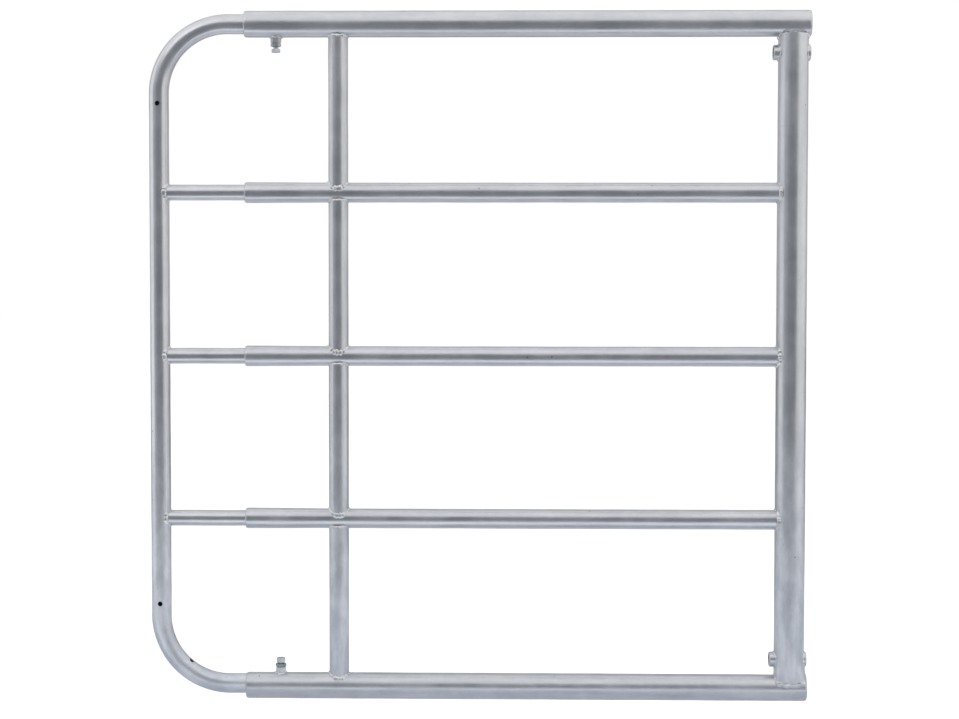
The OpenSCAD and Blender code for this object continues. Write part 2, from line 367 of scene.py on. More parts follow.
def drill(obj, cutters):
    """Cuts the cutters out of the object and removes them."""
    for cutter in cutters:
        cut = obj.modifiers.new("cut", "BOOLEAN")
        cut.operation = "DIFFERENCE"
        cut.solver = "EXACT"
        cut.object = cutter
    ready = obj.evaluated_get(bpy.context.evaluated_depsgraph_get())
    mesh = bpy.data.meshes.new_from_object(ready)
    obj.modifiers.clear()
    obj.data = mesh
    for cutter in cutters:
        bpy.data.objects.remove(cutter)


def peg(point, direction, length, radius, wider=0.0):
    """A round cutter from point along direction, wider at its far end."""
    direction = Vector(direction).normalized()
    turn = direction.to_track_quat("Z", "Y").to_matrix()
    angle = angles(HOLE_AROUND)
    rows = []
    for share, growth in ((0, 0), (0.5, 0), (1, wider)):
        ring = np.stack([np.cos(angle), np.sin(angle), np.zeros_like(angle)], -1) * (radius + growth)
        ring[:, 2] = share * length
        rows.append(ring @ np.array(turn).T + np.array(point))
    return shell("cutter", [rows], capped=True)


def finish_piece(obj, node, material, slot, along, shift, dull=0.0):
    """Shading, grain, dullness toward the ground, material, body and node of a finished piece."""
    mesh = obj.data
    mesh.shade_smooth()
    mesh.set_sharp_from_angle(angle=SHARP_ANGLE)
    points = np.empty(len(mesh.vertices) * 3)
    mesh.vertices.foreach_get("co", points)
    grain = np.stack(along(points.reshape(-1, 3)), -1) + shift * GRAIN_SHIFT
    mesh.attributes.new("grain", "FLOAT_VECTOR", "POINT").data.foreach_set("vector", grain.ravel())
    share = np.clip((DULL_FROM_Z - points[2::3]) / (DULL_FROM_Z - DULL_TO_Z), 0, 1)
    settled = dull * share * share * (3 - 2 * share)
    mesh.attributes.new("dull", "FLOAT", "POINT").data.foreach_set("value", settled)
    mesh.materials.clear()
    mesh.materials.append(material)
    obj.name = node + "_detailed"
    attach(obj, frame["nodes"][node]["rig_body"])
    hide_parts(node)


def along_x(points):
    """Grain coordinates of a piece along X."""
    return points[:, 0], points[:, 1], points[:, 2]


def along_z(points):
    """Grain coordinates of a piece along Z."""
    return points[:, 2], points[:, 1], points[:, 0]


def wobble(along, angle, seed):
    """Slight unevenness of a drawn and dipped tube, on its radius."""
    long, short, fine = (along * TURN / length for length in WOBBLE_WAVES)
    phase = np.random.default_rng(seed).uniform(0, TURN, 4)
    wave = np.sin(long + phase[0] + 2 * angle) + np.sin(short + phase[1] - angle)
    ripple = WOBBLE_FINE_SHARE * np.sin(fine + phase[2] + 3 * angle + phase[3])
    return WOBBLE * (wave + ripple - WOBBLE_PEAK)


def straight_tube(axis, centre, ends, radius, wall, cuts=(None, None), lip=0.0, swell=None, seed=0):
    """Rows of a tube along X (0) or Z (2).

    A cut gives an end's place along the axis from y and the other cross coordinate."""
    other = 2 - axis
    angle = angles(AROUND)
    count = max(FEWEST_STATIONS, int(abs(ends[1] - ends[0]) / STATION))
    shares = (1 - np.cos(np.linspace(0, math.pi, count))) / 2

    def edge(which, reach):
        if cuts[which] is not None:
            return cuts[which](reach * np.cos(angle), reach * np.sin(angle))
        inward = (lip if which == 0 else -lip) if reach == radius else 0
        return np.full(AROUND, ends[which] + inward)

    def ring(along, reach):
        row = np.empty((AROUND, 3))
        row[:, axis] = along
        row[:, 1] = np.clip(centre[1] + reach * np.cos(angle), cad_low[1], cad_high[1])
        row[:, other] = centre[other] + reach * np.sin(angle)
        return row

    def skin(reach):
        start, end = edge(0, reach), edge(1, reach)
        for share in shares:
            along = start + (end - start) * share
            grown = reach + wobble(along, angle, seed)
            if swell is not None:
                grown = grown + swell(along, angle)
            yield along, grown

    def lip_rows(which, outer, inner):
        if cuts[which] is not None or not lip:
            return
        sign = -1 if which == 0 else 1
        for step in np.linspace(0, math.pi / 2, LIP_STEPS)[1:-1]:
            reach = inner + (outer - inner) * (LIP_INNER_SHARE + (1 - LIP_INNER_SHARE) * math.cos(step))
            yield ring(edge(which, radius) + sign * lip * math.sin(step), reach)

    outer, inner = list(skin(radius)), list(skin(radius - wall))
    rows = [ring(*station) for station in outer]
    rows += lip_rows(1, outer[-1][1], inner[-1][1])
    rows += [ring(*station) for station in reversed(inner)]
    rows += reversed(list(lip_rows(0, outer[0][1], inner[0][1])))
    return rows


def saddle(radius, height, sign, stop):
    """An end cut that lies on a tube across it, but stops short where that would reach its sides."""
    def cut(across, side):
        depth = np.sqrt(np.maximum(0, radius ** 2 - across ** 2))
        return height + sign * np.maximum(depth, stop)
    return cut


# Weld building
def waves(chance, share, counts, ease):
    """A random sum of waves round a closed path, each divided by its count to the power of ease."""
    return sum(chance.normal() * np.cos(TURN * share * count + chance.uniform(0, TURN)) / count ** ease
               for count in counts)


def bead(path, out, width, height, seed):
    """Rows of a rippled weld bead along a closed path, with out pointing from the corner it fills."""
    path, out, width, height = resample(path, out, width, height)
    count = len(path)
    tangent = unit(np.roll(path, -1, 0) - np.roll(path, 1, 0))
    side = unit(np.cross(tangent, out))
    out = np.cross(side, tangent)
    ripples = max(FEWEST_RIPPLES, round(count * WELD_STEP / WELD_RIPPLE))
    share = np.arange(count) / count
    chance = np.random.default_rng(seed)
    sway = waves(chance, share, SWAY_WAVES, 1)
    lump = waves(chance, share, LUMP_WAVES, 0) / LUMP_SPREAD
    phase = (share * ripples + RIPPLE_SWAY * sway) % 1
    crest = np.sqrt(1 - (phase - CREST_AT) ** 2 / CREST_SPAN)
    wide = width / 2 * (1 - CREST_WIDTH + CREST_WIDTH * crest + LUMP_WIDTH * lump)
    tall = height * (1 - CREST_HEIGHT + CREST_HEIGHT * crest + LUMP_HEIGHT * np.tanh(lump))
    rows = []
    for angle in angles(WELD_AROUND):
        across = wide * math.cos(angle) + SWAY_WIDTH * width * sway
        rise = tall * math.sin(angle)
        rows.append(path + side * across[:, None] + out * rise[:, None])
    return np.clip(np.stack(rows, 1), cad_low, cad_high)


def resample(path, out, width, height):
    """A closed path, its directions, widths and heights at even steps."""
    table = np.column_stack([path, out, width, height])
    table = np.concatenate([table, table[:1]])
    run = np.concatenate([[0], np.cumsum(np.linalg.norm(np.diff(table[:, :3], axis=0), axis=1))])
    even = np.linspace(0, run[-1], max(FEWEST_WELD_STEPS, int(run[-1] / WELD_STEP)), endpoint=False)
    table = np.stack([np.interp(even, run, column) for column in table.T], -1)
    return table[:, :3], unit(table[:, 3:6]), table[:, 6], table[:, 7]


def corner(path, first, second, width, height):
    """A bead's line along the path, pointing midway between the two surfaces that meet there."""
    return path, unit(first + second), np.full(len(path), width), np.full(len(path), height)


def bridge(reach, depth, other, rise, lap, height, origin, away, across):
    """A bead's line between a tube's end and the tube that it stands on.

    The end lies at reach round its tube and at depth from the other tube's axis. The bead runs from it
    toward that axis by rise. Origin, away and across place it."""
    angle = angles(WELD_LINE_STEPS)
    y = reach * np.cos(angle)
    low = depth - rise
    room = np.sqrt(np.maximum(0, other ** 2 - low ** 2))
    seat_y = np.clip(y * np.maximum(1, room / reach), -room, room)
    edge = np.stack([depth, y, reach * np.sin(angle)], -1)
    seat = np.stack([low, seat_y, reach * np.sin(angle)], -1)
    middle = (edge + seat) / 2
    out = unit(np.cross(seat - edge, np.roll(middle, -1, 0) - np.roll(middle, 1, 0)))
    outward = np.stack([np.full_like(angle, BRIDGE_OUTWARD_ALONG), np.cos(angle), np.sin(angle)], -1)
    out *= np.sign((out * outward).sum(1))[:, None]
    turn = np.array([away, (0, 1, 0), across], float)
    width = np.linalg.norm(seat - edge, axis=1) + lap
    return np.array(origin) + middle @ turn, out @ turn, width, np.broadcast_to(height, len(angle))


def end_depth(radius, other, stop):
    """Depth of a saddled tube end from the other tube's axis, round the tube."""
    across = radius * np.cos(angles(WELD_LINE_STEPS))
    return np.maximum(np.sqrt(np.maximum(0, other ** 2 - across ** 2)), stop)


def upright_on_bar(z, bar, seat):
    """Bead's line of the brace on or under a tube along X, with its own fullness at the brace's sides."""
    depth = end_depth(brace_radius, bar, BRACE_STOP[seat])
    at_sides = BRACE_WELD_AT_SIDES[seat]
    fullness = at_sides + (1 - at_sides) * np.abs(np.cos(angles(WELD_LINE_STEPS)))
    way = (0, 0, 1 if seat.startswith("on") else -1)
    return bridge(brace_radius, depth, bar, BRACE_WELD_RISE[seat], BRACE_WELD_LAP * fullness,
                  BRACE_WELD_HEIGHT * fullness, (brace_x, 0, z), way, (1, 0, 0))


def bar_on_upright(x, upright, z, radius, side, stop, rise):
    """Bead's line of a tube along X that ends on an upright, heavier on top."""
    depth = end_depth(radius, upright, stop)
    on_top = np.maximum(0, np.sin(angles(WELD_LINE_STEPS))) ** 3
    height = BAR_WELD_HEIGHT + BAR_WELD_TOP_HEIGHT * on_top
    return bridge(radius, depth, upright, rise, BAR_WELD_LAP, height, (x, 0, z), (side, 0, 0), (0, 0, 1))


def bush_on_upright(z, side):
    """Bead's line of a hinge bush in the upright."""
    angle = angles(WELD_LINE_STEPS)
    y = bush_radius * np.sin(angle)
    depth = np.sqrt(hinge_radius ** 2 - y ** 2)
    path = np.stack([side * depth, y, z + bush_radius * np.cos(angle)], -1)
    first = np.stack([0 * angle, np.sin(angle), np.cos(angle)], -1)
    second = np.stack([side * depth / hinge_radius, y / hinge_radius, 0 * angle], -1)
    return corner(path, first, second, BUSH_WELD_WIDTH, BUSH_WELD_HEIGHT)


# Materials
class Nodes:
    """A small helper that adds and links shader nodes."""

    def __init__(self, tree):
        self.tree = tree
        tree.nodes.clear()

    def add(self, kind, inputs=None, **settings):
        node = self.tree.nodes.new(kind)
        for key, value in settings.items():
            setattr(node, key, value)
        for key, value in (inputs or {}).items():
            if isinstance(value, bpy.types.NodeSocket):
                self.tree.links.new(value, node.inputs[key])
            else:
                node.inputs[key].default_value = value
        return node

    def attribute(self, name):
        return self.add("ShaderNodeAttribute", attribute_name=name).outputs

    def stretch(self, vector, scale):
        return self.add("ShaderNodeMapping", {"Vector": vector, "Scale": scale}).outputs["Vector"]

    def noise(self, vector, sizes):
        return self.add("ShaderNodeTexNoise", {"Vector": vector, **sizes}).outputs["Fac"]

    def cells(self, vector, scale):
        return self.add("ShaderNodeTexVoronoi", {"Vector": vector, "Scale": scale}, feature="F1").outputs

    def mix(self, share, first, second):
        return self.add("ShaderNodeMix", {"Factor": share, "A": first, "B": second}).outputs["Result"]

    def math(self, operation, *values):
        return self.add("ShaderNodeMath", dict(enumerate(values)), operation=operation).outputs[0]

    def ramp(self, factor, stops):
        node = self.add("ShaderNodeValToRGB", {"Fac": factor})
        for element, (position, colour) in zip(node.color_ramp.elements, stops):
            element.position = position
            element.color = (*colour, 1)
        return node.outputs["Color"]

    def span(self, value, start, end, low, high):
        node = self.add("ShaderNodeMapRange", {"Value": value, "From Min": start, "From Max": end,
                                               "To Min": low, "To Max": high})
        return node.outputs["Result"]


def node_material(name):
    """A new material and the helper for its nodes."""
    material = bpy.data.materials.new(name)
    material.use_nodes = True
    return material, Nodes(material.node_tree)


def zinc(name, dark, light, rough, streaks, crystals, bump):
    """A zinc surface: streaks along the grain, cloudy patches, faint crystals and specks."""
    material, tree = node_material(name)
    grain = tree.attribute("grain")["Vector"]
    settled = tree.attribute("dull")["Fac"]
    streak = tree.noise(tree.stretch(grain, streaks), STREAK_NOISE)
    cloud = tree.noise(grain, CLOUD_NOISE)
    speck = tree.noise(grain, SPECK_NOISE)
    drip = tree.noise(tree.stretch(grain, DRIP_STRETCH), DRIP_NOISE)
    crystal = tree.cells(grain, crystals)["Color"]
    facet = tree.add("ShaderNodeSeparateColor", {"Color": crystal}).outputs["Red"]
    tone = tree.mix(CRYSTAL_SHARE, tree.mix(CLOUD_SHARE, streak, cloud), facet)
    stain = tree.math("SUBTRACT", drip, NOISE_MIDDLE)
    amount = tree.math("MULTIPLY_ADD", settled, STAIN_WHERE_DULL, STAIN)
    shade = tree.math("MULTIPLY_ADD", stain, amount, tone)
    plain = tree.ramp(shade, [(DARK_AT, dark), (LIGHT_AT, light)])
    pimple = tree.cells(grain, PIMPLES_PER_METRE)["Distance"]
    clear = tree.span(pimple, PIMPLE_CORE_SHARE * PIMPLE_REACH, PIMPLE_REACH, PIMPLE_TONE, 1.0)
    specked = tree.add("ShaderNodeVectorMath", {0: plain, "Scale": clear}, operation="SCALE")
    cooled = tree.add("ShaderNodeMix", {0: settled, 6: specked.outputs["Vector"], 7: (*DULL_TINT, 1)},
                      data_type="RGBA", blend_type="MULTIPLY")
    rougher = tree.span(cloud, NOISE_LOW, NOISE_HIGH, *rough)
    relief = tree.mix(RELIEF_STREAK_SHARE, speck, streak)
    bumps = tree.add("ShaderNodeBump", {"Height": relief, "Strength": bump, "Distance": RELIEF_DEPTH})
    shader = tree.add("ShaderNodeBsdfPrincipled", {
        "Base Color": cooled.outputs[2],
        "Metallic": tree.math("MULTIPLY_ADD", settled, DULL_METAL, 1.0),
        "Roughness": tree.math("MULTIPLY_ADD", settled, DULL_ROUGHNESS, rougher),
        "Normal": bumps.outputs["Normal"]})
    tree.add("ShaderNodeOutputMaterial", {"Surface": shader.outputs["BSDF"]})
    return material


galvanised = zinc("galvanised_steel", dark=(0.535, 0.553, 0.588), light=(0.715, 0.725, 0.755),
                  rough=(0.28, 0.40), streaks=TUBE_STREAKS, crystals=TUBE_CRYSTALS, bump=0.06)
fresh_zinc = zinc("fresh_galvanised_steel", dark=(0.56, 0.572, 0.605), light=(0.75, 0.76, 0.79),
                  rough=(0.28, 0.35), streaks=TUBE_STREAKS, crystals=TUBE_CRYSTALS, bump=0.04)
weld_zinc = zinc("weld_bead", dark=(0.60, 0.61, 0.63), light=(0.87, 0.87, 0.88),
                 rough=(0.30, 0.40), streaks=WELD_STREAKS, crystals=WELD_CRYSTALS, bump=0.2)
bright_plate = zinc("bright_zinc_plate", dark=(0.50, 0.53, 0.56), light=(0.66, 0.69, 0.72),
                    rough=(0.28, 0.38), streaks=SCREW_STREAKS, crystals=SCREW_CRYSTALS, bump=0.06)
# Painted shade: a darker copy of the zinc plate, which paints the shadow and dark reflection on the lower
# lock nut
painted_shade_plate = zinc("zinc_plate_painted_shade", dark=(0.27, 0.30, 0.29), light=(0.40, 0.43, 0.42),
                  rough=(0.28, 0.40), streaks=SCREW_STREAKS, crystals=SCREW_CRYSTALS, bump=0.06)

# Looks, each a material and its slot in the record
GALVANISED = (galvanised, "galvanised_steel")
FRESH_ZINC = (fresh_zinc, "galvanised_steel")
WELD = (weld_zinc, "weld_bead")
BRIGHT_PLATE = (bright_plate, "zinc_plated_steel")
PAINTED_SHADE_PLATE = (painted_shade_plate, "zinc_plated_steel")
# The upper lock nut is plain zinc plate. The lower one gets the darker copy, which is painted shade
NUT_LOOK_AND_PAINTED_SHADE = {"upper": BRIGHT_PLATE, "lower": PAINTED_SHADE_PLATE}


# Rails and bars
def clamp_x(side):
    return place(side + "_clamp_bolt")[0][0]


def rail(side, seed):
    node = {"upper": "top_rail_sleeve", "lower": "bottom_rail_sleeve"}[side]
    middle, half = place(node)
    ends = (middle[0] - half[0], middle[0] + half[0])
    rows = straight_tube(0, middle, ends, rail_radius, TUBE_WALL, lip=RAIL_LIP, seed=seed)
    obj = shell(node, [rows])
    hole_start, hole_way = (clamp_x(side), 0, middle[2]), (0, 0, INWARD[side])
    drill(obj, [peg(hole_start, hole_way, rail_radius * CLAMP_HOLE_REACH, CLAMP_HOLE_RADIUS)])
    finish_piece(obj, node, *GALVANISED, along_x, seed, dull=DULL_RAIL)


def bar(side, seed):
    node = side + "_bar_sleeve"
    middle = place(node)[0]
    fade = brace_x - mouth_x

    def swell(along, angle):
        return MOUTH_SWELL * np.clip(1 - (along - mouth_x) / fade, 0, 1)

    on_upright = saddle(hinge_radius + SEAT_GAP, 0, -1, BAR_END_STOP)
    rows = straight_tube(0, middle, (mouth_x, 0), bar_radius, TUBE_WALL, (None, on_upright), BAR_LIP, swell,
                         seed)
    finish_piece(shell(node, [rows]), node, *GALVANISED, along_x, seed)


def inner_bar(side, seed):
    node = side + "_inner_bar"
    middle, half = place(node)
    on_bow = saddle(bow_radius + SEAT_GAP, bow_x, 1, INNER_BAR_STOP)
    rows = straight_tube(0, middle, (bow_x, middle[0] + half[0]), inner_radius, TUBE_WALL, (on_bow, None),
                         CUT_LIP, seed=seed)
    finish_piece(shell(node, [rows]), node, *FRESH_ZINC, along_x, seed)


rail("upper", 1)
rail("lower", 2)
for index, side in enumerate(bar_z):
    bar(side, 3 + index)
    inner_bar(side, 6 + index)


# Brace
def brace(part, low, low_radius, high, high_radius, seed):
    node = "brace_tube_" + part
    low_stop = BRACE_STOP["on_rail" if part == "bottom" else "on"]
    high_stop = BRACE_STOP["under_rail" if part == "top" else "under"]
    under = saddle(low_radius + SEAT_GAP, low, 1, low_stop)
    over = saddle(high_radius + SEAT_GAP, high, -1, high_stop)
    rows = straight_tube(2, (brace_x, 0, 0), (low, high), brace_radius, TUBE_WALL, (under, over), seed=seed)
    finish_piece(shell(node, [rows]), node, *GALVANISED, along_z, seed, dull=DULL_UPRIGHT)


brace("top", bar_z["upper"], bar_radius, top_rail_z, rail_radius, 11)
brace("upper", bar_z["middle"], bar_radius, bar_z["upper"], bar_radius, 12)
brace("lower", bar_z["lower"], bar_radius, bar_z["middle"], bar_radius, 13)
brace("bottom", bottom_rail_z, rail_radius, bar_z["lower"], bar_radius, 14)


# Hinge upright and bushes
def opened(angle):
    """Growth of the upright's lower end, squared to wrap the rail and pushed out on the post's side."""
    side, across = np.abs(np.sin(angle)), np.abs(np.cos(angle))
    square = (side ** FLARE_SQUARENESS + across ** FLARE_SQUARENESS) ** (-1 / FLARE_SQUARENESS) - 1
    return hinge_radius * square + FLARE_POST_SIDE * np.maximum(0, np.sin(angle)) ** 2


def flare(along, angle):
    """Growth of the upright along its length, from its lower end."""
    start = bottom_rail_z + UPRIGHT_FRONT_STOP["bottom"]
    return opened(angle) * np.clip(1 - (along - start) / FLARE_RUN, 0, 1) ** FLARE_EASE


def upright_end(end):
    """An end cut of the hinge upright: a saddle at its sides, an arc over the rail in front and behind."""
    rail_z, sign = upright_ends[end]

    def cut(across, side):
        angle = np.arctan2(side, across)
        reach = np.hypot(across, side) + (opened(angle) if end == "bottom" else 0)
        depth = np.sqrt(np.maximum(0, (rail_radius + SEAT_GAP) ** 2 - (reach * np.cos(angle)) ** 2))
        arc = UPRIGHT_FRONT_STOP[end] + UPRIGHT_ARC_RISE * (reach * np.sin(angle) / hinge_radius) ** 2
        return rail_z + sign * np.maximum(depth, arc)
    return cut


def hinge_upright(seed):
    node = "hinge_upright"
    cuts = (upright_end("bottom"), upright_end("top"))
    rows = straight_tube(2, (0, 0, 0), (bottom_rail_z, top_rail_z), hinge_radius, HINGE_WALL, cuts,
                         swell=flare, seed=seed)
    obj = shell(node, [rows])
    drill(obj, [peg((-2 * hinge_radius, 0, z), (1, 0, 0), 4 * hinge_radius, bush_radius + SEAT_GAP)
                for z in bush_z.values()])
    finish_piece(obj, node, *GALVANISED, along_z, seed, dull=DULL_UPRIGHT)


def bush(side, seed):
    node = side + "_hinge_bush"
    middle, half = place(node)
    angle = angles(AROUND)
    left, right = middle[0] - half[0], middle[0] + half[0]
    turn = np.linspace(0, math.pi / 2, BUSH_EDGE_STEPS)
    profile = [(bush_radius - BUSH_EDGE * (1 - math.sin(a)), left + BUSH_EDGE * (1 - math.cos(a)))
               for a in turn]
    profile += [(bush_radius - BUSH_EDGE * (1 - math.cos(a)), right - BUSH_EDGE * (1 - math.sin(a)))
                for a in turn]
    profile += [(BUSH_BORE_RADIUS + BORE_EDGE, right), (BUSH_BORE_RADIUS, right - BORE_EDGE),
                (BUSH_BORE_RADIUS, left + BORE_EDGE), (BUSH_BORE_RADIUS + BORE_EDGE, left)]
    rows = [np.stack([np.full(AROUND, x), reach * np.cos(angle), middle[2] + reach * np.sin(angle)], -1)
            for reach, x in profile]
    finish_piece(shell(node, [rows]), node, *GALVANISED, along_x, seed)


hinge_upright(21)
bush("upper", 22)
bush("lower", 23)


# Latch bow
def bow_centreline():
    """Points along the bow with their in-plane outward directions and how far each is in a bend."""
    def run(start, end):
        count = max(FEWEST_LEG_STATIONS, int(np.linalg.norm(np.subtract(end, start)) / STATION))
        share = np.linspace(0, 1, count, endpoint=False)[:, None]
        return np.array(start) + (np.array(end) - np.array(start)) * share

    def turn(z, first, last):
        angle = np.linspace(first, last, BEND_STATIONS, endpoint=False)
        return np.stack([bend_x + BEND_RADIUS * np.cos(angle), z + BEND_RADIUS * np.sin(angle)], -1)

    top = run((bow_end_x, top_leg_z), (bend_x, top_leg_z))
    upper = turn(upper_bend_z, math.pi / 2, math.pi)
    side = run((bow_x, upper_bend_z), (bow_x, lower_bend_z))
    lower = turn(lower_bend_z, math.pi, 1.5 * math.pi)
    bottom = np.concatenate([run((bend_x, low_leg_z), (bow_end_x, low_leg_z)), [(bow_end_x, low_leg_z)]])
    line = np.concatenate([top, upper, side, lower, bottom])
    way = unit(np.gradient(line, axis=0))
    outward = np.stack([way[:, 1], -way[:, 0]], -1)
    in_bend = np.sin(np.linspace(0, math.pi, BEND_STATIONS))
    bent = np.concatenate([np.zeros(len(top)), in_bend, np.zeros(len(side)), in_bend, np.zeros(len(bottom))])
    return line, outward, bent


def bow_rows(seed):
    """Rows of the bow's tube, slightly flattened in its bends."""
    line, outward, bent = bow_centreline()
    run = np.concatenate([[0], np.cumsum(np.linalg.norm(np.diff(line, axis=0), axis=1))])
    angle = angles(AROUND)

    def skin(radius):
        for (x, z), aim, bend, along in zip(line, outward, bent, run):
            reach = radius + wobble(along, angle, seed)
            flat = reach * np.sin(angle) * (1 - BEND_FLATTEN * bend)
            wide = reach * np.cos(angle) * (1 + BEND_FLATTEN / 2 * bend)
            yield np.stack([x + flat * aim[0], wide, z + flat * aim[1]], -1)

    return list(skin(bow_radius)) + list(skin(bow_radius - TUBE_WALL))[::-1]


def along_bow(points):
    """Grain coordinates that follow the bow round its bends."""
    x, y, z = points.T
    middle_z = (upper_bend_z + lower_bend_z) / 2
    half_side = (upper_bend_z - lower_bend_z) / 2
    quarter = BEND_RADIUS * math.pi / 2
    pivot_z = np.clip(z, lower_bend_z, upper_bend_z)
    bend_angle = np.arctan2(bend_x - x, np.abs(z - pivot_z) + TINY)
    reach = np.hypot(x - bend_x, z - pivot_z)
    in_leg = x > bend_x
    in_side = (z < upper_bend_z) & (z > lower_bend_z) & ~in_leg
    sign = np.where(z > middle_z, 1, -1)
    on_bend = sign * (half_side + quarter - BEND_RADIUS * bend_angle)
    on_leg = sign * (half_side + quarter + x - bend_x)
    along = np.where(in_leg, on_leg, np.where(in_side, z - middle_z, on_bend))
    height = np.where(in_leg, np.abs(z - pivot_z) - BEND_RADIUS, reach - BEND_RADIUS)
    return along, y, height


def latch_bow(seed):
    node = "latch_bow"
    obj = shell(node, [bow_rows(seed)])
    front = Vector((0, -1, 0))
    drain_aim = Vector((-math.cos(DRAIN_HOLE_ANGLE), 0, -math.sin(DRAIN_HOLE_ANGLE)))
    drain_start = Vector((bend_x, 0, lower_bend_z)) + drain_aim * BEND_RADIUS
    drain_way = math.cos(DRAIN_HOLE_TO_FRONT) * -drain_aim + math.sin(DRAIN_HOLE_TO_FRONT) * front
    holes = [((bow_x, 0, top_rail_z - UPPER_LATCH_HOLE_DROP), front),
             ((bow_x, 0, bottom_rail_z + LOWER_LATCH_HOLE_RISE), front),
             (drain_start, drain_way)]
    drill(obj, [peg(start, way, bow_radius + HOLE_PAST_WALL, LATCH_HOLE_RADIUS, HOLE_FLARE)
                for start, way in holes])
    finish_piece(obj, node, *FRESH_ZINC, along_bow, seed, dull=DULL_UPRIGHT)


latch_bow(31)


# Welds
def welds(node, lines, seed):
    parts = [bead(*line, seed + index) for index, line in enumerate(lines)]
    finish_piece(shell(node, parts), node, *WELD, along_x, seed)


def upright_end_line(end):
    """Bead's line of the hinge upright's end on its rail, heavier at its sides."""
    rail_z, sign = upright_ends[end]
    angle = angles(WELD_LINE_STEPS)
    wall_reach = hinge_radius - HINGE_WALL / 2
    height = upright_end(end)(wall_reach * np.cos(angle), wall_reach * np.sin(angle))
    reach = wall_reach + (flare(height, angle) if end == "bottom" else 0)
    depth = sign * (height - rail_z)
    sides = np.sin(angle) ** 4
    lap = UPRIGHT_WELD_LAP[end] + UPRIGHT_WELD_SIDE_LAP[end] * sides
    tall = UPRIGHT_WELD_HEIGHT[end] + UPRIGHT_WELD_SIDE_HEIGHT[end] * sides
    return bridge(reach, depth, rail_radius, UPRIGHT_WELD_RISE[end], lap, tall, (0, 0, rail_z), (0, 0, sign),
                  (1, 0, 0))


brace_lines = [upright_on_bar(bottom_rail_z, rail_radius, "on_rail"),
               upright_on_bar(top_rail_z, rail_radius, "under_rail")]
for z in bar_z.values():
    brace_lines.append(upright_on_bar(z, bar_radius, "on"))
    brace_lines.append(upright_on_bar(z, bar_radius, "under"))
welds("brace_welds", brace_lines, 41)
welds("bar_end_welds", [bar_on_upright(0, hinge_radius, z, bar_radius, -1, BAR_END_STOP, BAR_WELD_RISE)
                        for z in bar_z.values()], 61)
welds("inner_bar_welds", [bar_on_upright(bow_x, bow_radius, z, inner_radius, 1, INNER_BAR_STOP,
                                         INNER_BAR_WELD_RISE) for z in bar_z.values()], 71)
welds("hinge_bush_welds", [bush_on_upright(z, side) for z in bush_z.values() for side in (-1, 1)], 81)
welds("hinge_upright_welds", [upright_end_line("bottom"), upright_end_line("top")], 91)


# Clamp screws
def hex_reach(across_flats, turn, angle):
    """Distance from a hexagon's middle to its side, with a corner at turn degrees."""
    return across_flats / 2 / np.cos((angle - math.radians(turn)) % (TURN / 6) - TURN / 12)


def screw_heights(side, node, rail_z):
    """Lowest and highest place of a screw's node over its rail's axis, along the screw."""
    middle, half = place(node)
    height = INWARD[side] * (middle[2] - rail_z)
    return height - half[2], height + half[2]


def screw_rings(side, x, rail_z, profile):
    """Rings round a clamp screw, from (reach, height) over the rail's axis, for each angle."""
    sign = INWARD[side]
    angle = angles(HEX_AROUND)
    rows = []
    for reach, height in profile(angle):
        reach, height = np.broadcast_to(reach, angle.shape), np.broadcast_to(height, angle.shape)
        ring = [x + reach * np.cos(angle), sign * reach * np.sin(angle), rail_z + sign * height]
        rows.append(np.stack(ring, -1))
    return rows


def boss_profile(flats, turn, top):
    """Hexagon that sits on the rail, chamfered at its free end."""
    def profile(angle):
        reach = hex_reach(flats, turn, angle)
        rim = flats / 2 * BOSS_RIM_SHARE
        drop = (reach - rim) * BOSS_SLOPE

        def on_rail(radius):
            return np.sqrt((rail_radius + SEAT_GAP) ** 2 - (radius * np.sin(angle)) ** 2)

        yield BOLT_BORE_RADIUS, on_rail(BOLT_BORE_RADIUS)
        yield reach, on_rail(reach)
        yield reach, top - drop - BOSS_EDGE
        yield reach - BOSS_EDGE, top - drop
        yield rim - BOSS_EDGE, top
        yield BOLT_BORE_RADIUS + BOSS_BORE_EDGE, top
        yield BOLT_BORE_RADIUS, top - BOSS_BORE_EDGE
    return profile


def nut_profile(flats, turn, low, high):
    """Hexagon that is chamfered at both ends."""
    def profile(angle):
        reach = hex_reach(flats, turn, angle)
        rim = flats / 2 * HEX_RIM_SHARE
        drop = (reach - rim) * HEX_SLOPE
        yield BOLT_BORE_RADIUS, low + NUT_BORE_EDGE
        yield BOLT_BORE_RADIUS + NUT_BORE_EDGE, low
        yield rim, low
        yield reach, low + drop
        yield reach, high - drop
        yield rim, high
        yield BOLT_BORE_RADIUS + NUT_BORE_EDGE, high
        yield BOLT_BORE_RADIUS, high - NUT_BORE_EDGE
    return profile


def bolt_profile(flats, turn, tip, base, top):
    """Threaded shank from the tip to the head, and a chamfered hexagon head with a shallow dish."""
    def profile(angle):
        reach = hex_reach(flats, turn, angle)
        rim = flats / 2 * HEX_RIM_SHARE
        thread_top = base - BOLT_PLAIN_NECK
        yield BOLT_RADIUS * BOLT_TIP_SHARE, tip
        for height in np.arange(tip + THREAD_START, thread_top, THREAD_STEP):
            phase = (height / THREAD_PITCH - angle / TURN) % 1
            depth = THREAD_DEPTH * np.abs(2 * phase - 1)
            run_in = np.clip((height - tip) / THREAD_RUN_IN, 0, 1)
            run_out = np.clip((thread_top - height) / THREAD_RUN_OUT, 0, 1)
            entry = BOLT_RADIUS * BOLT_ENTRY_SHARE * (1 - run_in)
            yield BOLT_RADIUS - depth * (run_in * run_out) - entry, height
        yield BOLT_RADIUS, thread_top
        yield BOLT_RADIUS, base
        yield rim, base
        yield reach, base + (reach - rim) * HEAD_BASE_SLOPE
        yield reach, top - (reach - rim) * HEX_SLOPE
        yield rim, top
        yield rim * DISH_RIM_SHARE, top
        yield rim * DISH_FOOT_SHARE, top - DISH_DEPTH
        yield rim * DISH_MIDDLE_SHARE, top - DISH_DEPTH
    return profile


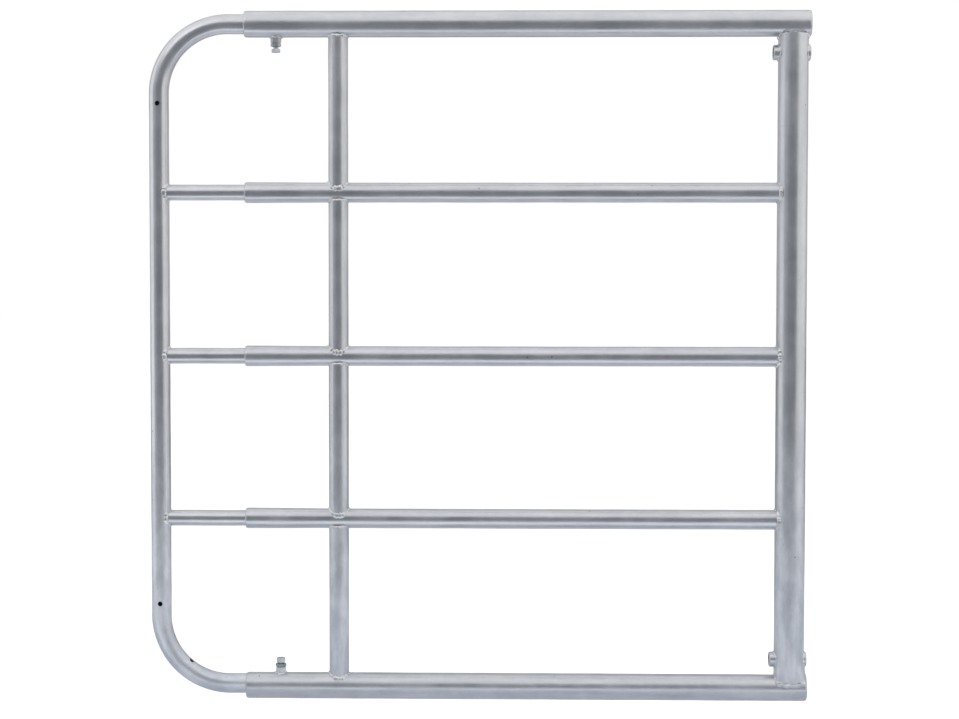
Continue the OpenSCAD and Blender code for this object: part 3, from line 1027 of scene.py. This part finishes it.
def boss_line(side, x, rail_z, flats):
    """Bead's line of a boss on its rail."""
    angle = angles(WELD_LINE_STEPS)
    reach = hex_reach(flats, BOSS_TURN[side], angle)
    y = reach * np.sin(angle)
    depth = np.sqrt(rail_radius ** 2 - y ** 2)
    path = np.stack([x + reach * np.cos(angle), y, rail_z + INWARD[side] * depth], -1)
    first = np.stack([np.cos(angle), np.sin(angle), 0 * angle], -1)
    second = np.stack([0 * angle, y / rail_radius, INWARD[side] * depth / rail_radius], -1)
    return corner(path, first, second, BOSS_WELD_WIDTH, BOSS_WELD_HEIGHT)


def clamp_screw(side, rail_z, hex_seed, bolt_seed):
    """Boss, lock nut and bolt of a clamp screw. Returns the bead's line of its boss."""
    x = clamp_x(side)
    boss, nut, bolt = (side + "_clamp_boss", side + "_lock_nut", side + "_clamp_bolt")
    flats = {node: 2 * min(place(node)[1][:2]) for node in (boss, nut, bolt)}
    boss_top = screw_heights(side, boss, rail_z)[1]
    tip, head_top = screw_heights(side, bolt, rail_z)
    profiles = {boss: boss_profile(flats[boss], BOSS_TURN[side], boss_top),
                nut: nut_profile(flats[nut], NUT_TURN, *screw_heights(side, nut, rail_z)),
                bolt: bolt_profile(flats[bolt], HEAD_TURN, tip, head_top - HEAD_DEPTH[side], head_top)}
    # The lower lock nut takes the zinc plate with painted shade
    for node, look, seed in ((boss, GALVANISED, hex_seed), (nut, NUT_LOOK_AND_PAINTED_SHADE[side], hex_seed),
                             (bolt, BRIGHT_PLATE, bolt_seed)):
        piece = shell(node, [screw_rings(side, x, rail_z, profiles[node])], capped=node == bolt)
        finish_piece(piece, node, *look, along_z, seed)
    return boss_line(side, x, rail_z, flats[boss])


boss_lines = [clamp_screw("upper", top_rail_z, 101, 105), clamp_screw("lower", bottom_rail_z, 102, 106)]
welds("clamp_boss_welds", boss_lines, 111)


# Camera
def camera_matrix():
    turn_x, turn_y, turn_z = (Matrix.Rotation(angle, 3, axis) for angle, axis in zip(CAMERA_TURNS, "XYZ"))
    level = Matrix(((1, 0, 0), (0, 0, -1), (0, 1, 0)))
    right, down, ahead = turn_z @ turn_y @ turn_x @ level
    columns = Matrix((right, -down, -ahead)).transposed().to_4x4()
    return Matrix.Translation(CAMERA_PLACE) @ columns


camera = bpy.data.objects.new("camera", bpy.data.cameras.new("camera"))
camera.data.sensor_width = SENSOR_WIDTH
camera.data.sensor_fit = "HORIZONTAL"
camera.data.lens = CAMERA_FOCUS_PIXELS * SENSOR_WIDTH / IMAGE_WIDTH
camera.data.clip_end = CAMERA_FAR
camera.matrix_world = camera_matrix()
bpy.context.scene.collection.objects.link(camera)
bpy.context.scene.camera = camera


# Floor, background and light
def seen_rays(tree):
    """1 for camera, glossy and transmission rays, which see the plain white background."""
    path = tree.add("ShaderNodeLightPath").outputs
    mirrored = tree.math("MAXIMUM", path["Is Camera Ray"], path["Is Glossy Ray"])
    return tree.math("MAXIMUM", mirrored, path["Is Transmission Ray"])


def white_world():
    """A world that is white where it is seen and gives a soft light."""
    world = bpy.data.worlds.new("white_studio")
    bpy.context.scene.world = world
    world.use_nodes = True
    world.cycles.sampling_method = "NONE"
    tree = Nodes(world.node_tree)
    dim = tree.add("ShaderNodeBackground", {"Color": WHITE, "Strength": AMBIENT})
    plain = tree.add("ShaderNodeBackground", {"Color": WHITE, "Strength": 1.0})
    mixed = tree.add("ShaderNodeMixShader", {"Fac": seen_rays(tree), 1: dim.outputs[0], 2: plain.outputs[0]})
    tree.add("ShaderNodeOutputWorld", {"Surface": mixed.outputs[0]})


def floor_paint():
    """Pale paint that keeps the shadow and is lifted to white where it is seen."""
    material, tree = node_material("floor_paint")
    paint = tree.add("ShaderNodeBsdfDiffuse", {"Color": FLOOR_COLOUR})
    glow = tree.math("MULTIPLY", seen_rays(tree), FLOOR_LIFT)
    lifted = tree.add("ShaderNodeEmission", {"Color": WHITE, "Strength": glow})
    total = tree.add("ShaderNodeAddShader", {0: paint.outputs[0], 1: lifted.outputs[0]})
    tree.add("ShaderNodeOutputMaterial", {"Surface": total.outputs[0]})
    return material


def cloth(name, colour):
    """Matt cloth of a studio flag, shown as a fixed glow. The sheet under the gate uses it as a painted
    shadow.
    """
    material, tree = node_material(name)
    glow = tree.add("ShaderNodeEmission", {"Color": (*colour, 1), "Strength": 1.0})
    tree.add("ShaderNodeOutputMaterial", {"Surface": glow.outputs[0]})
    return material


def sheet(name, corners, material):
    mesh = bpy.data.meshes.new(name)
    mesh.from_pydata(corners, [], [tuple(range(len(corners)))])
    obj = bpy.data.objects.new(name, mesh)
    mesh.materials.append(material)
    bpy.context.scene.collection.objects.link(obj)
    return obj


def flag(name, corners, colour):
    """A studio flag or card that only shows in reflections, and gives the metal its bands."""
    obj = sheet(name, corners, cloth(name, colour))
    obj.visible_camera = False
    obj.visible_diffuse = False
    obj.visible_shadow = False
    obj.visible_transmission = False


def soft_box(name, place_at, size, power):
    light = bpy.data.lights.new(name, "AREA")
    light.shape = "RECTANGLE"
    light.size, light.size_y = size
    light.energy = power
    obj = bpy.data.objects.new(name, light)
    obj.location = place_at
    obj.rotation_euler = (Vector(LAMP_AIM) - Vector(place_at)).to_track_quat("-Z", "Y").to_euler()
    obj.visible_camera = False
    obj.visible_glossy = False
    bpy.context.scene.collection.objects.link(obj)


def level_sheet(x0, x1, y0, y1, z):
    return [(x0, y0, z), (x1, y0, z), (x1, y1, z), (x0, y1, z)]


def upright_sheet(x0, x1, y, z0, z1):
    return [(x0, y, z0), (x1, y, z0), (x1, y, z1), (x0, y, z1)]


def side_sheet(x, y0, y1, z0, z1):
    return [(x, y0, z0), (x, y1, z0), (x, y1, z1), (x, y0, z1)]


def facing_sheet(middle, aim, size):
    """Corners of a square sheet that faces a point."""
    turn = (Vector(aim) - Vector(middle)).to_track_quat("Z", "Y")
    half = size / 2
    corners = ((-half, -half), (half, -half), (half, half), (-half, half))
    return [Vector(middle) + turn @ Vector((x, y, 0)) for x, y in corners]


def floor_flag(front_y, back_y):
    """Corners of a flag on the floor."""
    return level_sheet(FLAG_LEFT, FLAG_RIGHT, front_y, back_y, flag_z)


def back_flag(low, high):
    """Corners of a flag behind the gate."""
    return upright_sheet(BACK_FLAG_LEFT, BACK_FLAG_RIGHT, BACK_FLAG_Y, low, high)


floor_z = cad_low[2] - FLOOR_DROP
flag_z = floor_z + FLAG_LIFT
upper_bend = (bow_x, 0, top_leg_z)
white_world()
white_paint = floor_paint()
sheet("floor", level_sheet(-FLOOR_REACH, FLOOR_REACH, -FLOOR_REACH, FLOOR_REACH, floor_z), white_paint)
sheet("backdrop", upright_sheet(-FLOOR_REACH, FLOOR_REACH, FLOOR_REACH, floor_z, FLOOR_REACH), white_paint)
flag("front_flag", upright_sheet(FLAG_LEFT, FLAG_RIGHT, FLAG_FRONT_Y, flag_z, FLAG_TOP), FRONT_CLOTH)
flag("floor_flag", floor_flag(FLAG_FRONT_Y, NEAR_CARD_FRONT_Y), FLOOR_CLOTH)
flag("left_flag", side_sheet(FLAG_LEFT, FLAG_FRONT_Y, LEFT_FLAG_BACK_Y, flag_z, FLAG_TOP), LEFT_CLOTH)
flag("near_card", floor_flag(NEAR_CARD_FRONT_Y, NEAR_CARD_BACK_Y), NEAR_CARD)
# Painted shadow of the gate on the floor, seen only in reflections
flag("under_gate_painted_shadow", floor_flag(NEAR_CARD_BACK_Y, PAINTED_SHADOW_BACK_Y), UNDER_GATE_PAINTED_SHADOW)
flag("behind_flag", floor_flag(PAINTED_SHADOW_BACK_Y, BACK_FLAG_Y), BEHIND_CLOTH)
flag("back_flag", back_flag(BACK_FLAG_LOW, BACK_FLAG_TOP), BACK_CLOTH)
flag("low_back_flag", back_flag(flag_z, BACK_FLAG_LOW), LOW_BACK_CLOTH)
flag("right_card", side_sheet(RIGHT_CARD_X, FLAG_FRONT_Y, BACK_FLAG_Y, flag_z, BACK_FLAG_TOP), RIGHT_CARD)
flag("bend_card", facing_sheet(BEND_CARD_PLACE, upper_bend, BEND_CARD_SIZE), BEND_CARD)
soft_box("overhead", OVERHEAD_PLACE, OVERHEAD_SIZE, OVERHEAD_POWER)
soft_box("left_front", LEFT_LAMP_PLACE, FRONT_LAMP_SIZE, FRONT_LAMP_POWER)
soft_box("right_front", RIGHT_LAMP_PLACE, FRONT_LAMP_SIZE, FRONT_LAMP_POWER)

bpy.context.scene.view_settings.view_transform = "Standard"
